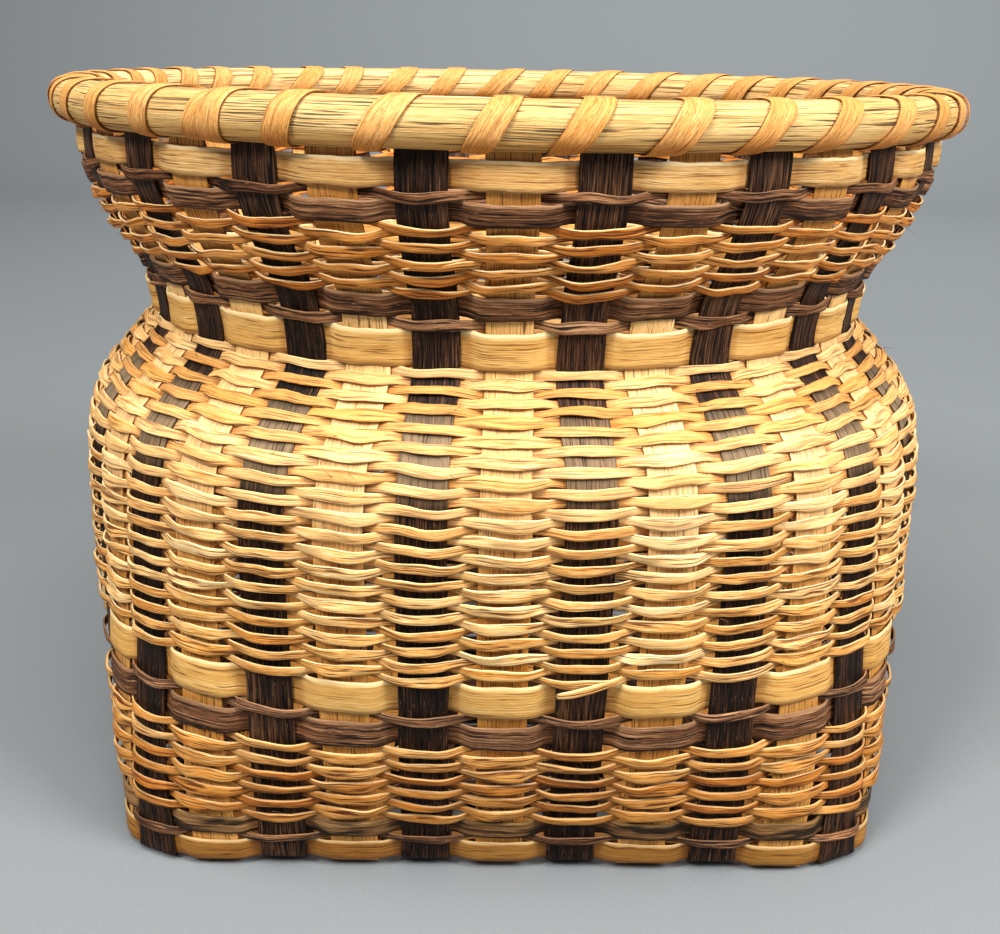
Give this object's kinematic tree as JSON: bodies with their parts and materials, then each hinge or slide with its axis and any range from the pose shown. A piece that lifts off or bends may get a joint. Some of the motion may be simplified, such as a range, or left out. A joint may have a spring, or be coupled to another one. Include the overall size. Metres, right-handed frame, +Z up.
{
  "type": "woven splint basket",
  "caption": "Woven splint basket with a rectangular plaited base, bulging body, drawn-in neck and flared round rim bound with a spiral lashing.",
  "frame": {"origin": "centre of the underside, where the basket rests", "axes": "+Z up through the mouth; X along the long side of the base, left to right as the front is seen; +Y from the front to the back"},
  "size_m": [0.3799, 0.38, 0.3062],
  "materials": {
    "splint_natural": "bare split white oak, matt, with fine lengthwise grain",
    "splint_tan": "bare split white oak, a little darker, matt",
    "splint_walnut": "split oak dyed dark brown with walnut, matt",
    "rim_oak": "shaved half-round oak, pale, with open grain",
    "lashing_oak": "thin flat oak splint, matt"
  },
  "bodies": {
    "root": {"upright_front_back_01": "splint_walnut", "upright_front_back_02": "splint_natural", "upright_front_back_03": "splint_walnut", "upright_front_back_04": "splint_natural", "upright_front_back_05": "splint_walnut", "upright_front_back_06": "splint_natural", "upright_front_back_07": "splint_walnut", "upright_front_back_08": "splint_natural", "upright_front_back_09": "splint_walnut", "upright_front_back_10": "splint_natural", "upright_front_back_11": "splint_walnut", "upright_left_right_01": "splint_natural", "upright_left_right_02": "splint_walnut", "upright_left_right_03": "splint_natural", "upright_left_right_04": "splint_walnut", "upright_left_right_05": "splint_natural", "upright_left_right_06": "splint_walnut", "upright_left_right_07": "splint_natural", "upright_left_right_08": "splint_walnut", "upright_left_right_09": "splint_natural", "weaver_67_wide_natural": "splint_natural", "weaver_66_narrow_dark": "splint_walnut", "weaver_65_wide_dark": "splint_walnut", "lower_narrow_weavers": "splint_tan", "weaver_53_wide_dark": "splint_walnut", "weaver_52_narrow_dark": "splint_walnut", "weaver_51_wide_natural": "splint_natural", "body_narrow_weavers": "splint_tan", "weaver_15_wide_natural": "splint_natural", "weaver_14_narrow_dark": "splint_walnut", "weaver_13_wide_dark": "splint_walnut", "neck_narrow_weavers": "splint_tan", "weaver_03_wide_dark": "splint_walnut", "weaver_02_narrow_dark": "splint_walnut", "weaver_01_wide_natural": "splint_natural", "outer_rim_hoop": "rim_oak", "inner_rim_hoop": "rim_oak", "rim_lashing": "lashing_oak"}
  },
  "joints": []
}
